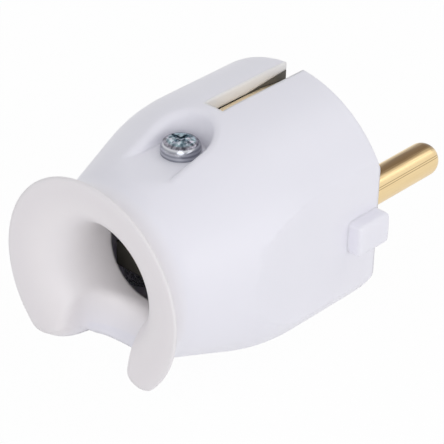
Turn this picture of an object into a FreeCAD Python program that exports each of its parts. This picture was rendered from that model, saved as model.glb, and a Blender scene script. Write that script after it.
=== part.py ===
import FreeCAD, Part
import math
import os
from FreeCAD import Vector

# Rewireable mains plug with two round pins and side earth contacts.
# Millimetres. The origin is the centre of the engagement face, midway between the pins.
# +X runs along the pins, +Z points to the closing screw. Depths are measured back from the face.

# Pins
pin_radius = 2.4
pin_length = 19.0
pin_spacing = 19.0
pin_tip_round = 2.2
pin_shank_radius = 2.2
pin_fit = 0.02
pin_seat_depth = 0.05
terminal_radius = 3.5
terminal_length = 9.0
wire_bore_radius = 1.6
wire_bore_depth = 7.0
terminal_screw_setback = 5.5
terminal_side_gap = 1.1

# Hood, outside
barrel_radius = 17.7
barrel_length = 17.6
cone_angle = 19.0
shoulder_round = 24.0
face_edge_round = 0.5
hood_length = 38.5
flange_radius = 15.1
rim_round = 0.3
neck_round = 6.0
lug_length = 6.0
lug_width = 4.6
lug_edge_round = 0.6

# Hood, inside
wall = 2.0
face_wall = 1.3
face_taper_depth = 8.0
rear_wall_depth = 27.9
rear_wall = 2.5
throat_radius = 6.6
throat_length = 1.0
mouth_fullness = 0.72

# Notch under the flange
notch_radius = 5.5
notch_flare = 6.0
notch_edge_round = 1.8
tip_round = 3.2
tip_slope = 0.7

# Earth slots
slot_width = 3.2
slot_length = 16.0

# Closing screw and its channel
screw_depth = 22.0
channel_depth = 4.5
channel_floor_wall = 1.8
channel_half_width = 3.4
channel_draft_side = 14.0
channel_draft_front = 14.0
channel_wall = 1.3
channel_edge_round = 1.2
screw_radius = 1.5
screw_hole_clearance = 0.2
closing_screw_length = 8.0
closing_head_radius = 2.7
closing_head_height = 2.0
closing_head_round = 0.5
cross_width = 0.8
cross_length = 3.0
cross_depth = 1.2
nut_width = 5.5
nut_thickness = 1.8
nut_cover = 2.3

# Contact carrier
carrier_gap = 0.05
disc_thickness = 8.0
tail_gap = 0.1
tail_half_width = 5.5
tail_underside = 3.2
tail_end_depth = 25.0
wing_half_width = 9.0
wing_gap = 0.65
wing_front_depth = 19.0
cord_seat_radius = 4.2

# Earth strap and its terminal
strap_width = 5.0
strap_thickness = 0.8
strap_cover = 2.2
strap_front_depth = 1.2
strap_rear_depth = 15.6
strap_bend = 0.6
strap_gap = 0.1
strap_lead_length = 4.0
strap_lead_drop = 0.5
earth_screw_inset = 4.4
earth_screw_length = 6.0
washer_width = 6.4
washer_thickness = 0.8

# Cord clamp and common screw sizes
clamp_bar_width = 5.0
clamp_bar_thickness = 3.6
clamp_screw_offset = 6.5
clamp_screw_length = 14.0
terminal_screw_length = 4.0
terminal_screw_lift = 0.6
head_radius = 2.6
head_height = 2.0
head_slot_width = 0.7
head_slot_depth = 1.0
thread_gap = 0.05
hole_gap = 0.15

# Values that follow from the sizes above
slope = math.tan(math.radians(cone_angle))
cone_sin = math.sin(math.radians(cone_angle))
cone_cos = math.cos(math.radians(cone_angle))
cavity_radius = barrel_radius - wall
face_cavity_radius = barrel_radius - face_wall
cavity_half_width = pin_spacing / 2 + terminal_radius + terminal_side_gap
flat_offset = cavity_half_width + face_wall
channel_floor = barrel_radius - channel_depth
boss_floor = channel_floor - channel_floor_wall
tail_top = boss_floor - tail_gap
nut_top = tail_top - nut_cover
strap_height = barrel_radius - strap_cover
strap_leg_width = slot_width - 2 * strap_gap
earth_screw_height = earth_screw_inset - strap_height
clamp_bar_top = -tail_underside
clamp_bar_bottom = clamp_bar_top - clamp_bar_thickness
flare = math.radians(notch_flare)
notch_depth = rear_wall_depth + rear_wall
notch_reach = hood_length - notch_depth
notch_half_width = notch_radius / math.cos(flare) + (notch_reach - notch_radius) * math.tan(flare)
mouth_depth = hood_length - rear_wall_depth - throat_length
mouth_bend = mouth_depth ** 2 / (flange_radius - rim_round - throat_radius)
beyond = 2.0 * hood_length
close = 0.01

X = Vector(1, 0, 0)
Y = Vector(0, 1, 0)
Z = Vector(0, 0, 1)


def block(x0, x1, y0, y1, z0, z1):
    return Part.makeBox(x1 - x0, y1 - y0, z1 - z0, Vector(x0, y0, z0))


def rod(radius, length, start, direction):
    return Part.makeCylinder(radius, length, start, direction)


def on_profile(x, r):
    return Vector(x, 0, r)


def line(a, b):
    return Part.LineSegment(a, b).toShape()


def arc(a, middle, b):
    return Part.Arc(a, middle, b).toShape()


def turned(edges):
    """Solid turned about the X axis from edges of a closed half profile."""
    face = Part.Face(Part.Wire(edges))
    return face.revolve(Vector(0, 0, 0), X, 360)


def turned_polygon(points):
    corners = [on_profile(x, r) for x, r in points]
    corners.append(corners[0])
    return turned([line(a, b) for a, b in zip(corners, corners[1:])])


def cone_radius(depth):
    return barrel_radius - slope * (depth - barrel_length)


def middle_of(edge):
    return edge.valueAt((edge.FirstParameter + edge.LastParameter) / 2)


def softened(shape, radius, chosen):
    """Shape with the chosen edges rounded."""
    return shape.makeFillet(radius, [e for e in shape.Edges if chosen(e, middle_of(e))])


# Hood
def hood_outside():
    """Barrel, rounded shoulder, cone and flared flange, turned in one piece and solid inside."""
    half = math.radians(cone_angle) / 2
    tangent = shoulder_round * math.tan(half)
    shoulder_front = on_profile(-(barrel_length - tangent), barrel_radius)
    shoulder_middle = shoulder_front + Vector(-shoulder_round * math.sin(half), 0,
                                              shoulder_round * (math.cos(half) - 1))
    shoulder_rear = on_profile(-(barrel_length + tangent * cone_cos), barrel_radius - tangent * cone_sin)

    rim_front = on_profile(rim_round - hood_length, flange_radius)
    rim_rear = on_profile(-hood_length, flange_radius - rim_round)
    rim_centre = on_profile(rim_round - hood_length, flange_radius - rim_round)
    rim_middle = rim_centre + Vector(-1, 0, 1) * (rim_round * math.sqrt(0.5))

    outward = Vector(-cone_sin, 0, cone_cos)
    forward = Vector(cone_cos, 0, cone_sin)
    rise = (flange_radius - cone_radius(hood_length - rim_round)) * cone_cos
    along = math.sqrt(2 * neck_round * rise - rise ** 2)
    neck_start = rim_front - outward * rise + forward * along
    neck_centre = neck_start + outward * neck_round
    inward = ((neck_start + rim_front) * 0.5 - neck_centre).normalize()
    neck_middle = neck_centre + inward * neck_round

    edge_rear = on_profile(-face_edge_round, barrel_radius)
    edge_front = on_profile(0, barrel_radius - face_edge_round)
    lean = face_edge_round * math.sqrt(0.5)
    edge_middle = on_profile(lean - face_edge_round, barrel_radius - face_edge_round + lean)
    return turned([
        line(on_profile(0, 0), edge_front),
        arc(edge_front, edge_middle, edge_rear),
        line(edge_rear, shoulder_front),
        arc(shoulder_front, shoulder_middle, shoulder_rear),
        line(shoulder_rear, neck_start),
        arc(neck_start, neck_middle, rim_front),
        arc(rim_front, rim_middle, rim_rear),
        line(rim_rear, on_profile(-hood_length, 0)),
        line(on_profile(-hood_length, 0), on_profile(0, 0)),
    ])


def mouth():
    """Bell-shaped hollow from the rim down to the throat, with the throat itself."""
    rim = on_profile(-hood_length, flange_radius - rim_round)
    throat = on_profile(mouth_depth - hood_length, throat_radius)
    drop = rim.z - throat.z
    bell = Part.BezierCurve()
    bell.setPoles([rim, rim - Z * (drop * mouth_fullness), throat - X * (mouth_depth * mouth_fullness), throat])
    throat_end = on_profile(-rear_wall_depth, throat_radius)
    behind_rim = rim + Z * beyond
    past_rim = behind_rim - X
    return turned([
        bell.toShape(),
        line(throat, throat_end),
        line(throat_end, on_profile(-rear_wall_depth, 0)),
        line(on_profile(-rear_wall_depth, 0), on_profile(past_rim.x, 0)),
        line(on_profile(past_rim.x, 0), past_rim),
        line(past_rim, behind_rim),
        line(behind_rim, rim),
    ])


def channel(grow, floor):
    """Drafted channel that ends round in front of the closing screw and runs out to the rear."""
    height = barrel_radius + 1 - floor
    run_out = -barrel_length - (barrel_radius - floor) / slope - 1
    spread_side = height * math.tan(math.radians(channel_draft_side))
    spread_front = height * math.tan(math.radians(channel_draft_front))

    def outline(z, half_width, front):
        centre = front - half_width
        left = Vector(centre, half_width, z)
        right = Vector(centre, -half_width, z)
        rear_left = Vector(run_out, half_width, z)
        rear_right = Vector(run_out, -half_width, z)
        return Part.Wire([
            line(rear_right, right),
            arc(right, Vector(front, 0, z), left),
            line(left, rear_left),
            line(rear_left, rear_right),
        ])

    half_width = channel_half_width + grow
    front = channel_half_width - screw_depth + grow
    low = outline(floor, half_width, front)
    high = outline(floor + height, half_width + spread_side, front + spread_front)
    return Part.makeLoft([low, high], True, True)


def cavity():
    """Room for the carrier, with flat sides, up to the rear wall and clear of the screw channel."""
    cone_wall = wall / cone_cos
    corner_depth = barrel_length - (cone_wall - wall) / slope
    room = turned_polygon([
        (0, 0),
        (0, face_cavity_radius),
        (-face_taper_depth, cavity_radius),
        (-corner_depth, cavity_radius),
        (-rear_wall_depth, cone_radius(rear_wall_depth) - cone_wall),
        (-rear_wall_depth, 0),
    ])
    sides = block(-beyond, 1, -cavity_half_width, cavity_half_width, -beyond, beyond)
    return room.common(sides).cut(channel(channel_wall, boss_floor))


def side_flats():
    """What is cut off both sides of the barrel, leaving a lug on each flat at the face."""
    cuts = []
    for side in (1, -1):
        near, far = sorted((side * flat_offset, side * beyond))
        slab = block(-beyond, 1, near, far, -beyond, beyond)
        lug = block(-lug_length, 2, near, far, -lug_width / 2, lug_width / 2)
        behind = block(-beyond, -rear_wall_depth, near, far, -beyond, beyond)
        cuts.append(slab.cut(lug).cut(behind))
    return cuts


def earth_slots():
    return [block(-slot_length, 1, -slot_width / 2, slot_width / 2, *span)
            for span in ((tail_top, beyond), (-beyond, -tail_top))]


def notch():
    """Opening between the flange's two legs, with a round front and sides that flare to the rim."""
    touch_x = notch_radius * (math.sin(flare) - 1) - notch_depth
    touch_y = notch_radius * math.cos(flare)
    past = touch_x - hood_length
    wide = touch_y + hood_length * math.tan(flare)

    def corner(x, y):
        return Vector(x, y, -beyond)

    outline = Part.Wire([
        line(corner(past, wide), corner(touch_x, touch_y)),
        arc(corner(touch_x, touch_y), corner(-notch_depth, 0), corner(touch_x, -touch_y)),
        line(corner(touch_x, -touch_y), corner(past, -wide)),
        line(corner(past, -wide), corner(past, wide)),
    ])
    return Part.Face(outline).extrude(Z * beyond)


def cord_way():
    """Mouth and notch as one hollow, smooth where the notch leaves the mouth."""
    hollow = mouth().fuse(notch())

    def where_they_meet(edge, m):
        below = -flange_radius < m.z < -close
        return below and abs(m.y) < notch_half_width and edge.BoundBox.XLength > close

    return softened(hollow, min(notch_edge_round, mouth_bend), where_they_meet)


def leg_tips():
    """What is cut off to round the legs' tips, between the notch's sides and the rim."""
    centre_y = notch_half_width + tip_round
    centre_z = -math.sqrt((flange_radius - tip_round) ** 2 - centre_y ** 2)
    cuts = []
    for side in (1, -1):
        centre = Vector(0, side * centre_y, centre_z)
        outward = Vector(centre).normalize()
        inner = centre - Y * (side * tip_round)
        outer = outward * flange_radius
        middle = centre + (outward - Y * side).normalize() * tip_round
        outside = outward * (flange_radius + tip_round)
        low_outside = Vector(0, outside.y, -beyond)
        low_inside = Vector(0, 0, -beyond)
        inside = Vector(0, 0, inner.z)
        face = Part.Face(Part.Wire([
            arc(inner, middle, outer),
            line(outer, outside),
            line(outside, low_outside),
            line(low_outside, low_inside),
            line(low_inside, inside),
            line(inside, inner),
        ]))
        step = Vector(1, -side * math.tan(flare), -tip_slope)
        face.translate(Vector(-hood_length, 0, 0) - step)
        cuts.append(face.extrude(step * (1 + notch_reach)))
    return cuts


def hood():
    shape = hood_outside().cut(cord_way()).cut(cavity())
    for cut in side_flats() + earth_slots() + [channel(0, channel_floor)] + leg_tips():
        shape = shape.cut(cut)
    shape = softened_hood(shape)
    hole = rod(screw_radius + screw_hole_clearance, beyond, Vector(-screw_depth, 0, 0), Z)
    return shape.cut(hole)


def softened_hood(shape):
    """Rounds the edges of the lugs and the screw channel."""

    def on_lug(edge, m):
        outside = abs(m.y) > flat_offset + lug_edge_round / 2
        return outside and abs(m.z) < lug_width / 2 + close and m.x > -lug_length - close

    def on_channel(edge, m):
        surface = min(barrel_radius, cone_radius(-m.x)) - channel_wall / 3
        over_floor = m.z > channel_floor + close
        behind_slot = -rear_wall_depth < m.x < -slot_length - close
        return over_floor and behind_slot and abs(m.y) < cavity_radius / 2 and math.hypot(m.y, m.z) > surface

    shape = softened(shape, lug_edge_round, on_lug)
    return softened(shape, channel_edge_round, on_channel)


# Contact carrier
def carrier():
    """Disc that fills the face, with a tail that carries the closing nut and the cord clamp."""
    disc = turned_polygon([
        (0, 0),
        (0, face_cavity_radius - carrier_gap),
        (-face_taper_depth, cavity_radius - carrier_gap),
        (-beyond, cavity_radius - carrier_gap),
        (-beyond, 0),
    ])
    half = cavity_half_width - carrier_gap
    disc = disc.common(block(-disc_thickness, 1, -half, half, -beyond, beyond))
    tail = block(-tail_end_depth, -disc_thickness / 2, -tail_half_width, tail_half_width,
                 tail_underside, tail_top)
    rear_room = cone_radius(tail_end_depth) - wall / cone_cos - wing_gap
    wing_top = math.sqrt(rear_room ** 2 - wing_half_width ** 2)
    wings = block(-tail_end_depth, -wing_front_depth, -wing_half_width, wing_half_width,
                  tail_underside, wing_top)
    shape = disc.fuse([tail, wings])
    shape = shape.cut(rod(cord_seat_radius, beyond, Vector(-disc_thickness, 0, 0), -X))
    for side in (1, -1):
        pin_axis = Vector(-beyond / 2, side * pin_spacing / 2, 0)
        shape = shape.cut(rod(pin_shank_radius + pin_fit, beyond, pin_axis, X))
        seat = Vector(-pin_seat_depth, side * pin_spacing / 2, 0)
        shape = shape.cut(rod(pin_radius + pin_fit, beyond, seat, X))
        clamp_axis = Vector(-screw_depth, side * clamp_screw_offset, 0)
        shape = shape.cut(rod(screw_radius + thread_gap, beyond, clamp_axis, Z))
    shape = shape.cut(rod(screw_radius + screw_hole_clearance, beyond, Vector(-screw_depth, 0, 0), Z))
    pocket = nut_width / 2 + hole_gap
    shape = shape.cut(block(-screw_depth - pocket, -screw_depth + pocket, -pocket, pocket, 0, nut_top))
    half_strap = strap_width / 2 + strap_gap
    half_leg = strap_leg_width / 2 + strap_gap
    for low, high in ((strap_height - strap_thickness, beyond), (-beyond, strap_thickness - strap_height)):
        shape = shape.cut(block(-beyond, 1, -half_leg, half_leg, low, high))
    passage = block(-strap_rear_depth - strap_gap, strap_thickness + strap_gap - strap_rear_depth,
                    -half_strap, half_strap, 0, beyond)
    return shape.cut(passage).removeSplitter()


# Pins
def pin(side):
    """Round pin with a domed tip and a shoulder seated in the face, on a shank with a bored head."""
    tip_start = pin_length - pin_tip_round
    tip_flat = pin_radius - pin_tip_round
    lean = pin_tip_round * math.sqrt(0.5)
    head_start = -disc_thickness
    head_end = head_start - terminal_length
    body = turned([
        line(on_profile(head_end, 0), on_profile(head_end, terminal_radius)),
        line(on_profile(head_end, terminal_radius), on_profile(head_start, terminal_radius)),
        line(on_profile(head_start, terminal_radius), on_profile(head_start, pin_shank_radius)),
        line(on_profile(head_start, pin_shank_radius), on_profile(-pin_seat_depth, pin_shank_radius)),
        line(on_profile(-pin_seat_depth, pin_shank_radius), on_profile(-pin_seat_depth, pin_radius)),
        line(on_profile(-pin_seat_depth, pin_radius), on_profile(tip_start, pin_radius)),
        arc(on_profile(tip_start, pin_radius), on_profile(tip_start + lean, tip_flat + lean),
            on_profile(pin_length, tip_flat)),
        line(on_profile(pin_length, tip_flat), on_profile(pin_length, 0)),
        line(on_profile(pin_length, 0), on_profile(head_end, 0)),
    ])
    body = body.cut(rod(wire_bore_radius, wire_bore_depth, Vector(head_end, 0, 0), X))
    screw_x = head_start - terminal_screw_setback
    body = body.cut(rod(screw_radius + thread_gap, beyond, Vector(screw_x, 0, 0), -Z))
    return body.translate(Y * (side * pin_spacing / 2))


# Screws
def slotted_screw(length, seat, direction):
    """Cheese-head screw whose head sits on seat and whose shank runs along direction."""
    shank = rod(screw_radius, length, seat, direction)
    head = rod(head_radius, head_height, seat, -direction)
    along = direction.cross(Y)
    top = seat - direction * head_height
    frame = FreeCAD.Matrix(Y.x, along.x, direction.x, top.x, Y.y, along.y, direction.y, top.y,
                           Y.z, along.z, direction.z, top.z, 0, 0, 0, 1)
    slot = block(-head_slot_width / 2, head_slot_width / 2, -beyond, beyond, -1, head_slot_depth)
    return head.cut(slot.transformGeometry(frame)).fuse(shank).removeSplitter()


def terminal_screws():
    x = -disc_thickness - terminal_screw_setback
    z = -terminal_radius - terminal_screw_lift
    seats = [Vector(x, side * pin_spacing / 2, z) for side in (1, -1)]
    return Part.makeCompound([slotted_screw(terminal_screw_length, seat, Z) for seat in seats])


def cord_clamp_screws():
    seats = [Vector(-screw_depth, side * clamp_screw_offset, clamp_bar_bottom) for side in (1, -1)]
    return Part.makeCompound([slotted_screw(clamp_screw_length, seat, Z) for seat in seats])


def earth_terminal_screw():
    x = -strap_rear_depth - washer_thickness
    return slotted_screw(earth_screw_length, Vector(x, 0, earth_screw_height), X)


def closing_screw():
    """Plated cross-recess screw, its head on the channel's floor."""
    seat = Vector(-screw_depth, 0, channel_floor)
    head = rod(closing_head_radius, closing_head_height, seat, Z)
    top = channel_floor + closing_head_height
    rim = [e for e in head.Edges if e.BoundBox.ZMin > top - close]
    head = head.makeFillet(closing_head_round, rim)
    for length, width in ((cross_length, cross_width), (cross_width, cross_length)):
        head = head.cut(block(-screw_depth - length / 2, -screw_depth + length / 2, -width / 2, width / 2,
                              top - cross_depth, beyond))
    return head.fuse(rod(screw_radius, closing_screw_length, seat, -Z)).removeSplitter()


def closing_nut():
    half = nut_width / 2
    body = block(-screw_depth - half, -screw_depth + half, -half, half, nut_top - nut_thickness, nut_top)
    return body.cut(rod(screw_radius + thread_gap, beyond, Vector(-screw_depth, 0, 0), Z))


# Earth contact
def earth_strap():
    """Strip bent to a U: its base stands behind the pins and its legs run forward under the slots."""
    half = strap_width / 2
    rear = -strap_rear_depth
    outer = block(rear, -strap_front_depth, -half, half, -strap_height, strap_height)
    inner_height = strap_height - strap_thickness
    inner = block(rear + strap_thickness, 0, -half, half, -inner_height, inner_height)

    def bends(shape, x):
        return [e for e in shape.Edges if e.BoundBox.YLength > half and abs(e.BoundBox.Center.x - x) < close]

    outer = outer.makeFillet(strap_bend + strap_thickness, bends(outer, rear))
    inner = inner.makeFillet(strap_bend, bends(inner, rear + strap_thickness))
    hole = rod(screw_radius + thread_gap, beyond, Vector(-beyond, 0, earth_screw_height), X)
    shape = outer.cut(inner).cut(hole)
    half_leg = strap_leg_width / 2
    shoulder = strap_height - strap_thickness - strap_bend
    front = -strap_front_depth
    wedge = [(front - strap_lead_length, strap_height), (front, strap_height - strap_lead_drop),
             (front, beyond), (front - strap_lead_length, beyond)]
    for end in (1, -1):
        low, high = sorted((end * shoulder, end * beyond))
        for near, far in ((half_leg, beyond), (-beyond, -half_leg)):
            shape = shape.cut(block(-beyond, 1, near, far, low, high))
        corners = [Vector(x, -half, end * z) for x, z in wedge]
        lead = Part.Face(Part.makePolygon(corners + corners[:1])).extrude(Vector(0, strap_width, 0))
        shape = shape.cut(lead)
    return shape


def earth_washer():
    half = washer_width / 2
    rear = -strap_rear_depth - washer_thickness
    body = block(rear, -strap_rear_depth, -half, half, earth_screw_height - half, earth_screw_height + half)
    return body.cut(rod(screw_radius + hole_gap, beyond, Vector(-beyond, 0, earth_screw_height), X))


# Cord clamp
def cord_clamp_bar():
    half = clamp_bar_width / 2
    body = block(-screw_depth - half, -screw_depth + half, -wing_half_width, wing_half_width,
                 clamp_bar_bottom, clamp_bar_top)
    body = body.cut(rod(cord_seat_radius, beyond, Vector(-beyond, 0, 0), X))
    for side in (1, -1):
        start = Vector(-screw_depth, side * clamp_screw_offset, -beyond)
        body = body.cut(rod(screw_radius + hole_gap, beyond, start, Z))
    return body


pieces = {
    "hood": hood(),
    "contact_carrier": carrier(),
    "live_pin": pin(1),
    "neutral_pin": pin(-1),
    "terminal_screws": terminal_screws(),
    "earth_strap": earth_strap(),
    "earth_washer": earth_washer(),
    "earth_terminal_screw": earth_terminal_screw(),
    "cord_clamp_bar": cord_clamp_bar(),
    "cord_clamp_screws": cord_clamp_screws(),
    "closing_screw": closing_screw(),
    "closing_nut": closing_nut(),
}

os.makedirs("parts", exist_ok=True)
for name, shape in pieces.items():
    shape.exportStep("parts/" + name + ".step")
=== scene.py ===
# %% [markdown]
# A white mains plug with two round pins and side earth contacts.
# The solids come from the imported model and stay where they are. This lesson dresses them: it gives
# each one a finish, and puts a finer piece in the place of those that are moulded, bent or turned.

# %% Load the solids
import math
import bmesh
import bpy
from mathutils import Matrix, Vector


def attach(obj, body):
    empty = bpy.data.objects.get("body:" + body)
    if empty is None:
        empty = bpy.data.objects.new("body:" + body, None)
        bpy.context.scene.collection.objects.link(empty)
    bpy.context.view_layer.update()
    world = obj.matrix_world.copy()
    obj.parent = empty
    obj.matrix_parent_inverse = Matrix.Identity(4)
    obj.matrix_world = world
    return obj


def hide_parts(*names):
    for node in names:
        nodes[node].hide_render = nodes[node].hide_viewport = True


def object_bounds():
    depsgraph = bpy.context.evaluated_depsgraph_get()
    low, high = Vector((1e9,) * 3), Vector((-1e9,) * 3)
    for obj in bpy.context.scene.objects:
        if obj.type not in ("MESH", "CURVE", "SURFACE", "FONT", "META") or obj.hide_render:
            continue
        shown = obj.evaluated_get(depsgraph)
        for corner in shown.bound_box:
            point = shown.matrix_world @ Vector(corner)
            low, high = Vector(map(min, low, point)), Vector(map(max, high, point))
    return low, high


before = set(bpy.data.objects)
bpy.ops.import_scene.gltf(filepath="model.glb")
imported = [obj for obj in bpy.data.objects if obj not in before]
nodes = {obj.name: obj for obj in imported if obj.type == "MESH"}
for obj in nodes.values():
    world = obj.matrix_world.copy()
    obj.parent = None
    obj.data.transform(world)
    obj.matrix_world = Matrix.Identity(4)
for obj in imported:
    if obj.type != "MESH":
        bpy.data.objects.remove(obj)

cad_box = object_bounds()
mm = 0.001
print("solids:", ", ".join(sorted(nodes)))
print("size in mm:", [round((b - a) / mm, 2) for a, b in zip(*cad_box)])

# %% [markdown]
# Both shaders and geometry nodes are graphs, and a formula is hard to read as a graph.
# One small class wraps a node's output socket, so that a formula is written as a formula and the
# Math nodes follow by themselves. Its method named node adds any other kind of node.

# %% Write node formulas as Python
class Wire:
    """An output socket of a node tree that can be used in sums."""

    def __init__(self, tree, socket=None):
        self.tree, self.socket = tree, socket

    def feed(self, socket, value):
        if isinstance(value, Wire):
            self.tree.links.new(value.socket, socket)
        else:
            socket.default_value = value

    def node(self, kind, inputs=None, output=0, **settings):
        """Adds a node: first its settings, then the values or links of its sockets."""
        made = self.tree.nodes.new(kind)
        for key, value in settings.items():
            setattr(made, key, value)
        for key, value in (inputs or {}).items():
            for one in value if isinstance(value, list) else [value]:
                self.feed(made.inputs[key], one)
        return Wire(self.tree, made.outputs[output] if len(made.outputs) else None)

    def math(self, operation, *values):
        return self.node("ShaderNodeMath", dict(enumerate(values)), operation=operation)

    def __add__(self, other):
        return self.math("ADD", self, other)

    def __sub__(self, other):
        return self.math("SUBTRACT", self, other)

    def __rsub__(self, other):
        return self.math("SUBTRACT", other, self)

    def __mul__(self, other):
        return self.math("MULTIPLY", self, other)

    def __truediv__(self, other):
        return self.math("DIVIDE", self, other)

    def __pow__(self, other):
        return self.math("POWER", self, other)

    __radd__ = __add__
    __rmul__ = __mul__

    def clamped(self):
        return self.node("ShaderNodeClamp", {"Value": self})

    def above(self, limit, width):
        """Mask that rises from 0 at limit to 1 at limit + width."""
        return ((self - limit) / width).clamped()

    def below(self, limit, width):
        """Mask that falls from 1 at limit - width to 0 at limit."""
        return ((limit - self) / width).clamped()

    def sharpened(self, start, gain):
        """More contrast: 0 up to start, and from there gain times as steep, up to 1."""
        return ((self - start) * gain).clamped()

    def parts(self):
        made = self.node("ShaderNodeSeparateXYZ", {"Vector": self}).socket.node
        return [Wire(self.tree, out) for out in made.outputs]

    def vector(self, x, y, z):
        return self.node("ShaderNodeCombineXYZ", {"X": x, "Y": y, "Z": z})


print("formulas work on sockets now")

# %% [markdown]
# A finish is a material that is worked out from the place on the surface, so it needs no picture
# and no unwrapping. Each finish below starts from a Principled shader and the place in the object's
# own coordinates. Three helpers mix two colours, make soft noise and add a fine relief.

# %% Start a finish
EDGE_SAMPLES = 8


def finish(name, **constants):
    material = bpy.data.materials.new(name)
    material.use_nodes = True
    tree = material.node_tree
    shader = tree.nodes["Principled BSDF"]
    for socket, value in constants.items():
        shader.inputs[socket.replace("_", " ")].default_value = value
    place = Wire(tree).node("ShaderNodeTexCoord", output="Object")
    return material, shader, place


def mixed(share, first, second):
    made = share.node("ShaderNodeMix", {0: share, 6: first, 7: second}, data_type="RGBA")
    return Wire(made.tree, made.socket.node.outputs[2])


def cloud(place, size, detail=2.0):
    """Soft noise from 0 to 1 whose patches are about as large as size."""
    return place.node("ShaderNodeTexNoise", {"Vector": place, "Scale": 1 / size, "Detail": detail})


def relief(shader, height, depth, edge_round=0):
    """Fine relief. With edge_round, edges also catch light as if they were rounded that far."""
    sockets = {"Height": height, "Distance": depth, "Strength": 1.0}
    if edge_round:
        sockets["Normal"] = height.node(
            "ShaderNodeBevel", {"Radius": edge_round}, samples=EDGE_SAMPLES)
    height.feed(shader.inputs["Normal"], height.node("ShaderNodeBump", sockets))


print("ready to mix finishes")

# %% [markdown]
# The hood is moulded in a glossy white plastic. Such plastic is never one flat colour: the melt
# leaves faint clouds and the tool leaves a fine grain. Where the wall flares out at the cord's
# mouth, the white is painted a little warmer, as painted light through the thin wall. Light passes
# through the plastic a little, and the walls of the funnel and the slots are painted paler, as
# painted light in their shade. No moulded edge is knife sharp, and the relief softens how edges
# catch the light.

# %% White moulding
BODY_WHITES = (0.875, 0.862, 0.925, 1), (0.855, 0.845, 0.910, 1)
# Painted light: the flare whites are painted warmer, the funnel and slot whites paler.
FLARE_PAINTED_LIGHT_WHITES = (0.870, 0.830, 0.845, 1), (0.850, 0.810, 0.830, 1)
FUNNEL_PAINTED_LIGHT_WHITE, SLOT_PAINTED_LIGHT_WHITE = (0.94, 0.90, 0.91, 1), (0.96, 0.95, 0.96, 1)
MOUTH_FRONT, FLARE_FRONT, NECK_BACK = -27 * mm, -33.5 * mm, -34 * mm
NECK_RADIUS, FUNNEL_RADIUS = 11 * mm, 13 * mm
SLOT_HALF_WIDTH, SLOT_BACK = 1.75 * mm, -16.3 * mm

white_moulding, shader, place = finish(
    "white_moulding", IOR=1.49, Subsurface_Weight=0.25, Subsurface_Radius=(1, 1, 1),
    Subsurface_Scale=1.5 * mm)
along, across, up = place.parts()
from_axis = (across * across + up * up) ** 0.5
on_neck = from_axis.above(NECK_RADIUS, 0.5 * mm) * along.above(NECK_BACK, 0.5 * mm)
in_mouth = along.below(MOUTH_FRONT, 1 * mm) * (1 - on_neck)
in_slot = place.math("ABSOLUTE", across).below(SLOT_HALF_WIDTH, 0.1 * mm)
# Painted light: the flare is painted warmer, and the funnel and slot walls are painted paler.
flare_painted_light_share = along.below(FLARE_FRONT, 4 * mm)
funnel_painted_light_share = from_axis.below(FUNNEL_RADIUS, 6 * mm) * in_mouth
slot_painted_light_share = in_slot * along.above(SLOT_BACK, 0.2 * mm)
body_white = mixed(cloud(place, 9 * mm), *BODY_WHITES)
flare_painted_light_white = mixed(cloud(place, 7 * mm), *FLARE_PAINTED_LIGHT_WHITES)
outer_white = mixed(flare_painted_light_share, body_white, flare_painted_light_white)
whole_white = mixed(slot_painted_light_share, mixed(funnel_painted_light_share, outer_white, FUNNEL_PAINTED_LIGHT_WHITE), SLOT_PAINTED_LIGHT_WHITE)
place.feed(shader.inputs["Base Color"], whole_white)
place.feed(shader.inputs["Roughness"], 0.30 + 0.10 * cloud(place, 5 * mm))
relief(shader, cloud(place, 0.35 * mm), 0.0015 * mm, edge_round=0.6 * mm)
print("made", white_moulding.name)

# %% [markdown]
# The carrier behind the hood is a dark, matt plastic with a fine pitted grain.

# %% Dark moulding
DARK_GREYS = (0.090, 0.084, 0.071, 1), (0.114, 0.107, 0.091, 1)

dark_moulding, shader, place = finish("dark_moulding", IOR=1.5)
grain = cloud(place, 0.3 * mm, 3.0)
place.feed(shader.inputs["Base Color"], mixed(cloud(place, 4 * mm), *DARK_GREYS))
place.feed(shader.inputs["Roughness"], 0.50 + 0.15 * grain)
relief(shader, grain, 0.006 * mm)
print("made", dark_moulding.name)

# %% [markdown]
# The pins are drawn and turned brass. Drawing leaves fine streaks along the rod, so the noise is
# stretched: it is read at a place where the length counts little and the angle round the pin a lot.
# A broad dark band and thin lines, painted reflections, run along each pin and fade out at the
# middle of its tip.

# %% Pin brass
PIN_OFFSET = 9.5 * mm
PIN_BRASSES, PAINTED_REFLECTION_BROWN = ((0.90, 0.72, 0.42, 1), (0.78, 0.58, 0.31, 1)), (0.20, 0.125, 0.06, 1)
BAND_ANGLE, BAND_EDGE, BAND_GAIN = 95, 0.82, 6
LINE_ANGLES, LINE_GAIN, LINE_SHARE = (148, 155, -25, -62), 30, 0.8


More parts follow.
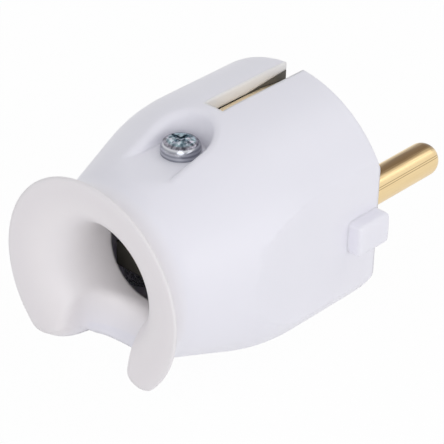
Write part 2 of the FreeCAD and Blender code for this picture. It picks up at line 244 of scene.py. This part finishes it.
def pin_finish(name, side):
    material, shader, place = finish(name, Metallic=1.0)
    along, across, up = place.parts()
    aside = across - side * PIN_OFFSET
    turn = place.math("ARCTAN2", up, aside)
    streaks = cloud(place.vector(along * 0.02, turn * mm, 0.0), 0.10 * mm, 3.0)
    # The dark band and the thin lines are painted reflections in the base colour.
    facing = place.math("COSINE", turn - math.radians(BAND_ANGLE))
    painted_reflection_band = (facing + 0.08 * (streaks - 0.5)).sharpened(BAND_EDGE, BAND_GAIN)
    off_axis = (aside ** 2 + up ** 2) ** 0.5
    painted_reflection_lines = sum((1 - place.math("ABSOLUTE", turn - math.radians(angle)) * LINE_GAIN).clamped()
                for angle in LINE_ANGLES)
    painted_reflection_share = (painted_reflection_band + painted_reflection_lines * LINE_SHARE).clamped() * off_axis.above(1 * mm, 1 * mm)
    place.feed(shader.inputs["Base Color"],
               mixed(painted_reflection_share, mixed(streaks, *PIN_BRASSES), PAINTED_REFLECTION_BROWN))
    place.feed(shader.inputs["Roughness"], 0.25 + 0.14 * streaks)
    relief(shader, streaks, 0.003 * mm)
    return material


pin_brass = {side: pin_finish("pin_brass_" + name, side)
             for side, name in ((1, "live"), (-1, "neutral"))}
print("made", [m.name for m in pin_brass.values()])

# %% [markdown]
# The earth strip is rolled sheet brass, duller than the pins and clouded by handling.

# %% Strip brass
STRIP_BRASSES, TARNISH_BROWN = ((1.00, 0.89, 0.70, 1), (0.93, 0.79, 0.57, 1)), (0.60, 0.45, 0.27, 1)

strip_brass, shader, place = finish("strip_brass", Metallic=1.0)
along, across, up = place.parts()
rolled = cloud(place.vector(along * 0.06, across, up * 0.06), 0.25 * mm, 4.0)
tarnish = cloud(place, 3 * mm, 4.0)
place.feed(shader.inputs["Base Color"],
           mixed(tarnish * 0.25, mixed(rolled, *STRIP_BRASSES), TARNISH_BROWN))
place.feed(shader.inputs["Roughness"], 0.30 + 0.20 * tarnish)
relief(shader, rolled, 0.004 * mm)
print("made", strip_brass.name)

# %% [markdown]
# The inner screws, the nut and the washer are zinc plated, which leaves a grey sparkle with a trace
# of yellow. Two noises of different size drive the yellow bloom and the fine crystals.

# %% Plated steel
ZINC_GREYS, ZINC_YELLOW = ((0.25, 0.26, 0.27, 1), (0.62, 0.63, 0.64, 1)), (0.56, 0.52, 0.42, 1)

plated_steel, shader, place = finish("plated_steel", Metallic=1.0)
bloom = cloud(place, 1.6 * mm, 3.0).sharpened(0.60, 4)
sparkle = cloud(place, 0.22 * mm, 4.0)
grey = mixed(sparkle.sharpened(0.4, 4), *ZINC_GREYS)
place.feed(shader.inputs["Base Color"], mixed(bloom * 0.5, grey, ZINC_YELLOW))
place.feed(shader.inputs["Roughness"], 0.16 + 0.22 * sparkle)
relief(shader, sparkle, 0.03 * mm)
print("made", plated_steel.name)

# %% [markdown]
# The closing screw is the one that shows. The plating bath has mottled its crown in blue and violet
# and left a dull ring round it, while its flank is polished and keeps the rings of the lathe. A mask
# by height parts crown and flank, and one by distance from the screw's axis marks the dull ring.

# %% Closing screw plate
SCREW_X, CROWN_FROM, DULL_RADIUS, RING_PITCH = -22 * mm, 14.72 * mm, 1.75 * mm, 0.55 * mm
CROWN_TINTS, CROWN_DARK = ((0.50, 0.65, 0.70, 1), (0.62, 0.57, 0.66, 1)), (0.07, 0.11, 0.14, 1)
DULL_GREYS = (0.06, 0.06, 0.075, 1), (0.33, 0.32, 0.37, 1)
FLANK_GREYS = (0.56, 0.57, 0.61, 1), (0.30, 0.31, 0.35, 1)

closing_plate, shader, place = finish("closing_plate", Metallic=1.0)
along, across, up = place.parts()
crown = up.above(CROWN_FROM, 0.12 * mm)
dull_ring = (((along - SCREW_X) ** 2 + across ** 2) ** 0.5).above(DULL_RADIUS, 0.25 * mm)
mottle = cloud(place, 0.55 * mm, 5.0)
bloom = cloud(place, 1.1 * mm, 3.0).sharpened(0.5, 5)
rings = 0.5 + 0.5 * place.math("SINE", up * (2 * math.pi / RING_PITCH))
blue = mixed(mottle.sharpened(0.38, 3.5), CROWN_DARK, mixed(bloom, *CROWN_TINTS))
dull = mixed(mottle.sharpened(0.36, 4), *DULL_GREYS)
place.feed(shader.inputs["Base Color"],
           mixed(crown, mixed(rings, *FLANK_GREYS), mixed(dull_ring, blue, dull)))
place.feed(shader.inputs["Roughness"], 0.12 + 0.18 * mottle * crown)
relief(shader, mottle * crown, 0.05 * mm)
print("made", closing_plate.name)

# %% [markdown]
# A solid's mesh is loose triangles, each with its own corners, so light breaks at every edge.
# A copy is merged at its corners and shaded smooth, with only the real edges kept sharp. Its long
# thin triangles would still show as streaks, so each corner's normal follows the larger faces
# around it. The copy then stands for the solid, which stays hidden in its place.

# %% Smooth copies of moulded and bent pieces
SOLID_MERGE = 0.0005 * mm


def shaded(mesh, angle):
    """Smooth shading that stays sharp at edges steeper than angle."""
    mesh.polygons.foreach_set("use_smooth", [True] * len(mesh.polygons))
    mesh.set_sharp_from_angle(angle=math.radians(angle))


def weighted(mesh, angle):
    """Gives each corner a normal that follows the larger faces around it, up to steep edges."""
    limit = math.cos(math.radians(angle))
    around = [[] for _ in mesh.vertices]
    for face in mesh.polygons:
        for here in face.vertices:
            spot = mesh.vertices[here].co
            before, after = (mesh.vertices[i].co - spot for i in face.vertices if i != here)
            around[here].append((face.normal.copy(), face.area * before.angle(after, 0.0)))
    corners = []
    for face in mesh.polygons:
        own = face.normal.copy()
        for here in face.vertices:
            near = [normal * share for normal, share in around[here] if own.dot(normal) > limit]
            corners.append(sum(near, Vector()).normalized())
    mesh.normals_split_custom_set(corners)


def placed(name, mesh, node):
    piece = bpy.data.objects.new(name, mesh)
    bpy.context.scene.collection.objects.link(piece)
    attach(piece, "root")
    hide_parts(node)
    print(name, "stands for", node, "with", len(mesh.polygons), "faces")


def smooth_copy(node, name, material, angle):
    work = bmesh.new()
    work.from_mesh(nodes[node].data)
    bmesh.ops.remove_doubles(work, verts=work.verts, dist=SOLID_MERGE)
    mesh = bpy.data.meshes.new(name)
    work.to_mesh(mesh)
    work.free()
    mesh.materials.clear()
    mesh.materials.append(material)
    shaded(mesh, angle)
    weighted(mesh, angle)
    placed(name, mesh, node)


smooth_copy("hood", "hood_moulding", white_moulding, 35)
smooth_copy("contact_carrier", "carrier_moulding", dark_moulding, 32)
smooth_copy("earth_strap", "earth_strip", strip_brass, 32)

# %% [markdown]
# Pins and screws are turned pieces, and a turned piece follows a rule: a radius for each step along
# its axis. Geometry nodes can lay out a flat grid, read the step and the turn from each point, and
# move the point to where the rule says. Its sizes are named inputs, so one tree makes many pieces.

# %% Build geometry node trees
MERGE = 0.0001 * mm
AS_IS, FORWARD = (0, 0, 0), (0, math.pi / 2, 0)


class Recipe(Wire):
    """A geometry node tree with named sizes."""

    def __init__(self, name):
        super().__init__(bpy.data.node_groups.new(name, "GeometryNodeTree"))
        self.tree.is_modifier = True
        self.tree.interface.new_socket(
            "Geometry", in_out="OUTPUT", socket_type="NodeSocketGeometry")
        self.start = self.tree.nodes.new("NodeGroupInput")
        self.identifiers = {}

    def sizes(self, *names):
        """Adds a named input for each name and returns them all."""
        for name in names:
            socket = self.tree.interface.new_socket(
                name, in_out="INPUT", socket_type="NodeSocketFloat")
            self.identifiers[name] = socket.identifier
        return [Wire(self.tree, self.start.outputs[name]) for name in names]

    def turned(self, steps, sides, rule, axis):
        """Closed surface turned about an axis; rule gives place along it and radius for a step."""
        grid = self.node("GeometryNodeMeshGrid", {
            "Size X": steps - 1, "Size Y": 1, "Vertices X": steps, "Vertices Y": sides + 1})
        x, y, _ = self.node("GeometryNodeInputPosition").parts()
        along, radius = rule(x + (steps - 1) / 2)
        turn = y * (2 * math.pi)
        a, b = radius * self.math("COSINE", turn), radius * self.math("SINE", turn)
        spot = self.vector(along, a, b) if axis == "x" else self.vector(a, b, along)
        moved = self.node("GeometryNodeSetPosition", {"Geometry": grid, "Position": spot})
        return self.node("GeometryNodeMergeByDistance", {"Geometry": moved, "Distance": MERGE})

    def between(self, step, first, last):
        """1 for the steps from first to last, else 0, which closes the ends of a turned piece."""
        return (self.math("GREATER_THAN", step, first - 0.5)
                * self.math("LESS_THAN", step, last + 0.5))

    def rod(self, radius, length, middle, turn=AS_IS, sides=48):
        made = self.node("GeometryNodeMeshCylinder", {
            "Vertices": sides, "Radius": radius, "Depth": length})
        return self.moved(made, middle, turn)

    def block(self, size, middle):
        return self.moved(self.node("GeometryNodeMeshCube", {"Size": size}), middle)

    def moved(self, shape, place, turn=AS_IS):
        return self.node("GeometryNodeTransform", {
            "Geometry": shape, "Translation": place, "Rotation": turn})

    def joined(self, *shapes):
        return self.node("GeometryNodeJoinGeometry", {"Geometry": list(shapes)})

    def without(self, shape, *cutters):
        return self.node("GeometryNodeMeshBoolean", {"Mesh 1": shape, "Mesh 2": list(cutters)},
                         operation="DIFFERENCE", solver="EXACT")

    def ends_in(self, shape, material):
        real = self.node("GeometryNodeRealizeInstances", {"Geometry": shape})
        done = self.node("GeometryNodeSetMaterial", {"Geometry": real, "Material": material})
        self.node("NodeGroupOutput", {"Geometry": done})


def mesh_from(recipe, name, sizes, angle=40):
    """Runs a recipe with these sizes and returns its result as a plain mesh."""
    carrier = bpy.data.objects.new(name, bpy.data.meshes.new(name + ".seed"))
    bpy.context.scene.collection.objects.link(carrier)
    modifier = carrier.modifiers.new(recipe.tree.name, "NODES")
    modifier.node_group = recipe.tree
    for key, value in sizes.items():
        modifier[recipe.identifiers[key]] = value
    made = carrier.evaluated_get(bpy.context.evaluated_depsgraph_get())
    mesh = bpy.data.meshes.new_from_object(made)
    carrier.modifiers.remove(modifier)
    bpy.data.objects.remove(carrier)
    work = bmesh.new()
    work.from_mesh(mesh)
    bmesh.ops.remove_doubles(work, verts=work.verts, dist=MERGE)
    bmesh.ops.recalc_face_normals(work, faces=work.faces)
    work.to_mesh(mesh)
    work.free()
    shaded(mesh, angle)
    mesh.name = name
    return mesh


print("recipes can be written")

# %% [markdown]
# A pin is a straight rod with a domed tip. The rule runs along the rod in a few steps and then
# round the tip by angle. The terminal head behind the face is a bored cylinder with a cross hole
# for its screw, cut out of it as on a lathe and a drill press.

# %% Pins
STRAIGHT_STEPS, TIP_STEPS, TURNED_SIDES = 6, 16, 64


def pin_recipe(side):
    recipe = Recipe("turned_pin")
    radius, length, tip = recipe.sizes("Radius", "Length", "Tip Round")
    shank, disc = recipe.sizes("Shank Radius", "Disc Thickness")
    head, head_length = recipe.sizes("Head Radius", "Head Length")
    bore, bore_depth = recipe.sizes("Bore Radius", "Bore Depth")
    screw, setback, shift = recipe.sizes("Screw Radius", "Screw Setback", "Offset")

    def rule(step):
        straight = ((step - 1) / STRAIGHT_STEPS).clamped()
        angle = ((step - 1 - STRAIGHT_STEPS) / TIP_STEPS).clamped() * (math.pi / 2)
        along = straight * (length - tip) + tip * recipe.math("SINE", angle)
        capped = recipe.between(step, 1, STRAIGHT_STEPS + TIP_STEPS + 1)
        return along, capped * (radius - tip + tip * recipe.math("COSINE", angle))

    def lengthwise(rod_radius, rod_length, middle):
        return recipe.rod(rod_radius, rod_length, recipe.vector(middle, 0, 0), FORWARD)

    body = recipe.turned(STRAIGHT_STEPS + TIP_STEPS + 3, TURNED_SIDES, rule, "x")
    neck = lengthwise(shank, disc, disc * -0.5)
    block = lengthwise(head, head_length, disc * -1 - head_length * 0.5)
    wire_bore = lengthwise(bore, bore_depth * 2, disc * -1 - head_length)
    cross_bore = recipe.rod(screw, head * 2, recipe.vector(disc * -1 - setback, 0, head * -1))
    drilled = recipe.without(block, wire_bore, cross_bore)
    whole = recipe.moved(recipe.joined(body, neck, drilled), recipe.vector(0, shift, 0))
    recipe.ends_in(whole, pin_brass[side])
    return recipe


for side, node in ((1, "live_pin"), (-1, "neutral_pin")):
    mesh = mesh_from(pin_recipe(side), node + "_turned", {
        "Radius": 2.4 * mm, "Length": 19 * mm, "Tip Round": 2.2 * mm,
        "Shank Radius": 2.2 * mm, "Disc Thickness": 8 * mm,
        "Head Radius": 3.5 * mm, "Head Length": 9 * mm,
        "Bore Radius": 1.6 * mm, "Bore Depth": 7 * mm,
        "Screw Radius": 1.55 * mm, "Screw Setback": 5.5 * mm, "Offset": side * PIN_OFFSET})
    placed(node + "_turned", mesh, node)

# %% [markdown]
# The closing screw has a domed head with a cross recess and a slot, and a thread on its shank. The
# dome is a rounded square turned about its axis, which one formula gives. The thread is a ridge
# swept along a spiral.

# %% Closing screw
RIDGE_SHARE, CORE_SHARE = 0.28, 0.25  # of the thread's pitch
DOME_STEPS, DOME_ROUNDNESS = 24, 0.52
CUTTER_CLEAR = 1 * mm


def thread(recipe, radius, length, pitch):
    """Ridge that winds round a shank, from its start at the origin along +Z."""
    path = recipe.node("GeometryNodeCurveSpiral", {
        "Resolution": 24, "Rotations": length / pitch,
        "Start Radius": radius, "End Radius": radius, "Height": length})
    ridge = recipe.node("GeometryNodeCurvePrimitiveCircle", {
        "Resolution": 3, "Radius": pitch * RIDGE_SHARE})
    return recipe.node("GeometryNodeCurveToMesh", {
        "Curve": path, "Profile Curve": ridge, "Fill Caps": True})


def threaded_shank(recipe, shank, length, pitch, low):
    """Core and ridge of a shank whose lower end is at the height low."""
    core = recipe.rod(shank - pitch * CORE_SHARE, length, recipe.vector(0, 0, low + length * 0.5))
    ridge = recipe.moved(thread(recipe, shank - pitch * RIDGE_SHARE, length - pitch, pitch),
                         recipe.vector(0, 0, low + pitch * 0.5))
    return core, ridge


def closing_screw_recipe():
    recipe = Recipe("closing_screw")
    head, height = recipe.sizes("Head Radius", "Head Height")
    arm, width, depth = recipe.sizes("Recess Length", "Recess Width", "Recess Depth")
    slot_depth, shank, length = recipe.sizes("Slot Depth", "Shank Radius", "Shank Length")
    pitch, x, z = recipe.sizes("Pitch", "Place X", "Seat Z")

    def rule(step):
        angle = ((step - 1) / (DOME_STEPS - 2)).clamped() * (math.pi / 2)
        side = recipe.math("MAXIMUM", recipe.math("COSINE", angle), 0.0)
        radius = head * recipe.between(step, 1, DOME_STEPS - 2) * side ** DOME_ROUNDNESS
        return height * recipe.math("SINE", angle) ** DOME_ROUNDNESS, radius

    def cutter(x_size, y_size, cut_depth):
        """Block that cuts this deep into the crown and stands clear above it."""
        return recipe.block(recipe.vector(x_size, y_size, cut_depth + CUTTER_CLEAR),
                            recipe.vector(0, 0, height - cut_depth * 0.5 + CUTTER_CLEAR / 2))

    dome = recipe.turned(DOME_STEPS, TURNED_SIDES, rule, "z")
    cut = recipe.without(dome, cutter(arm, width, depth), cutter(width, arm, depth),
                         cutter(width * 0.8, head * 3, slot_depth))
    below = threaded_shank(recipe, shank, length, pitch, length * -1)
    whole = recipe.moved(recipe.joined(cut, *below), recipe.vector(x, 0, z))
    recipe.ends_in(whole, closing_plate)
    return recipe


mesh = mesh_from(closing_screw_recipe(), "closing_screw_plated", {
    "Head Radius": 2.7 * mm, "Head Height": 2.0 * mm,
    "Recess Length": 2.8 * mm, "Recess Width": 0.65 * mm, "Recess Depth": 0.5 * mm,
    "Slot Depth": 0.2 * mm, "Shank Radius": 1.5 * mm, "Shank Length": 8 * mm,
    "Pitch": 0.5 * mm, "Place X": SCREW_X, "Seat Z": 13.2 * mm})
placed("closing_screw_plated", mesh, "closing_screw")

# %% [markdown]
# Five cheese-head screws hold the wires, the earth strip and the cord clamp. They are one shape in
# three lengths, so one recipe makes the screw and sets copies of it on a row of points.

# %% Slotted screws
def slotted_screw_recipe(turn):
    recipe = Recipe("slotted_screws")
    head, height = recipe.sizes("Head Radius", "Head Height")
    slot_width, slot_depth = recipe.sizes("Slot Width", "Slot Depth")
    shank, length, pitch = recipe.sizes("Shank Radius", "Shank Length", "Pitch")
    x, z, spread, count = recipe.sizes("Place X", "Seat Z", "Spread", "Count")
    cheese = recipe.rod(head, height, recipe.vector(0, 0, height * -0.5))
    slot = recipe.block(recipe.vector(slot_width, head * 3, slot_depth * 2),
                        recipe.vector(0, 0, height * -1))
    above = threaded_shank(recipe, shank, length, pitch, 0)
    whole = recipe.moved(
        recipe.joined(recipe.without(cheese, slot), *above), (0, 0, 0), turn)
    points = recipe.node("GeometryNodeMeshLine", {
        "Count": count, "Start Location": recipe.vector(x, spread * -0.5, z),
        "Offset": recipe.vector(0, spread, 0)})
    copies = recipe.node("GeometryNodeInstanceOnPoints", {"Points": points, "Instance": whole})
    recipe.ends_in(copies, plated_steel)
    return recipe


cheese_head = {"Head Radius": 2.6 * mm, "Head Height": 2 * mm, "Slot Width": 0.7 * mm,
               "Slot Depth": 1 * mm, "Shank Radius": 1.5 * mm, "Pitch": 0.5 * mm}
for node, turn, length, x, z, spread, count in (
        ("terminal_screws", AS_IS, 4, -13.5, -4.1, 19, 2),
        ("cord_clamp_screws", AS_IS, 14, -22, -6.8, 13, 2),
        ("earth_terminal_screw", FORWARD, 6, -16.4, -11, 0, 1)):
    mesh = mesh_from(slotted_screw_recipe(turn), node + "_threaded", {
        **cheese_head, "Shank Length": length * mm, "Place X": x * mm, "Seat Z": z * mm,
        "Spread": spread * mm, "Count": count})
    placed(node + "_threaded", mesh, node)

# %% [markdown]
# The nut, the washer and the clamp bar are plain blocks, as they would be in a real plug, so their
# solids stay and only get a finish.

# %% Finish the solids that stay
for node, material in (("closing_nut", plated_steel), ("earth_washer", plated_steel),
                       ("cord_clamp_bar", dark_moulding)):
    for slot in nodes[node].material_slots:
        slot.material = material
    print(node, "wears", material.name)

# %% [markdown]
# The plug lies on a plain white table in even studio light. The floor shows its own colour to the
# camera with a share of plain white, so it looks like a white page and still keeps a soft shadow.

# %% Floor
PAGE_SHARE = 0.97
TABLE_HALF = 3.0


def directly_seen(start):
    """1 for rays that come straight from the camera, a mirror or clear glass, else 0."""
    path = start.node("ShaderNodeLightPath").socket.node.outputs
    rays = ("Is Camera Ray", "Is Glossy Ray", "Is Transmission Ray")
    return sum(Wire(start.tree, path[ray]) for ray in rays).clamped()


white_table = bpy.data.materials.new("white_table")
white_table.use_nodes = True
white_table.node_tree.nodes.clear()
start = Wire(white_table.node_tree)
matt = start.node("ShaderNodeBsdfDiffuse", {"Color": (0.95, 0.95, 0.95, 1)})
page = start.node("ShaderNodeEmission", {"Color": (1, 1, 1, 1), "Strength": 1.0})
surface = start.node("ShaderNodeMixShader", {
    0: directly_seen(start) * PAGE_SHARE, 1: matt, 2: page})
start.node("ShaderNodeOutputMaterial", {"Surface": surface})

floor_mesh = bpy.data.meshes.new("table_top")
level = cad_box[0].z
corners = [(x * TABLE_HALF, y * TABLE_HALF, level) for x, y in ((-1, -1), (1, -1), (1, 1), (-1, 1))]
floor_mesh.from_pydata(corners, [], [(0, 1, 2, 3)])
floor_mesh.materials.append(white_table)
table_top = bpy.data.objects.new("table_top", floor_mesh)
bpy.context.scene.collection.objects.link(table_top)
print("table top at", round(level / mm, 2), "mm")

# %% [markdown]
# A pale world gives most of the light. Three soft lamps shape the plug: one from its side, one from
# behind the mouth, and one from the front and above, which draws a bright band along the pins.

# %% Light
WORLD_STRENGTH = 0.64
LAMPS_AIM = Vector((-10 * mm, 0, 0))

world = bpy.data.worlds.new("studio")
bpy.context.scene.world = world
world.use_nodes = True
world.node_tree.nodes.clear()
start = Wire(world.node_tree)
soft = start.node("ShaderNodeBackground", {
    "Color": (0.97, 0.98, 1.0, 1), "Strength": WORLD_STRENGTH})
page = start.node("ShaderNodeBackground", {"Color": (1, 1, 1, 1), "Strength": 1.0})
surface = start.node("ShaderNodeMixShader", {0: directly_seen(start), 1: soft, 2: page})
start.node("ShaderNodeOutputWorld", {"Surface": surface})


def soft_lamp(name, place, size, power):
    lamp = bpy.data.lights.new(name, "AREA")
    lamp.shape, lamp.size, lamp.energy = "DISK", size, power
    holder = bpy.data.objects.new(name, lamp)
    holder.location = place
    holder.rotation_euler = (LAMPS_AIM - Vector(place)).to_track_quat("-Z", "Y").to_euler()
    bpy.context.scene.collection.objects.link(holder)
    print(name, "at", [round(c, 2) for c in place], "gives", power, "W")


soft_lamp("side_lamp", (0.05, -0.62, 0.10), 0.50, 0.55)
soft_lamp("rear_lamp", (-0.52, -0.44, 0.26), 0.50, 1.05)
soft_lamp("front_lamp", (0.40, -0.19, 0.45), 0.34, 0.24)
bpy.context.scene.view_settings.view_transform = "Standard"

# %% [markdown]
# The camera stands behind the plug, to its right and above it, with a long lens. Its place was
# solved from the edges and axes seen in the photograph, a square of 444 pixels.

# %% Camera
IMAGE_SIDE = 444
FOCAL_PIXELS = 2426.81
AZIMUTH, ELEVATION, ROLL = 0.7303, 0.5581, 0.0318
DISTANCE, SHIFT_RIGHT, SHIFT_UP = 331.798 * mm, 9.3146 * mm, 5.9519 * mm

level_right = Vector((math.sin(AZIMUTH), -math.cos(AZIMUTH), 0))
level_back = Vector((-math.cos(AZIMUTH), -math.sin(AZIMUTH), 0))
back = math.cos(ELEVATION) * level_back + Vector((0, 0, math.sin(ELEVATION)))
level_up = level_right.cross(-back)
right = math.cos(ROLL) * level_right + math.sin(ROLL) * level_up
above = math.cos(ROLL) * level_up - math.sin(ROLL) * level_right
eye = back * DISTANCE - right * SHIFT_RIGHT - above * SHIFT_UP

lens = bpy.data.cameras.new("camera")
lens.sensor_width = 36
lens.lens = FOCAL_PIXELS * lens.sensor_width / IMAGE_SIDE
lens.clip_start, lens.clip_end = 0.01, 20
camera = bpy.data.objects.new("camera", lens)
camera.matrix_world = Matrix.Translation(eye) @ Matrix((right, above, back)).transposed().to_4x4()
bpy.context.scene.collection.objects.link(camera)
bpy.context.scene.camera = camera
print("lens", round(lens.lens, 2), "mm, eye", [round(c, 4) for c in eye])
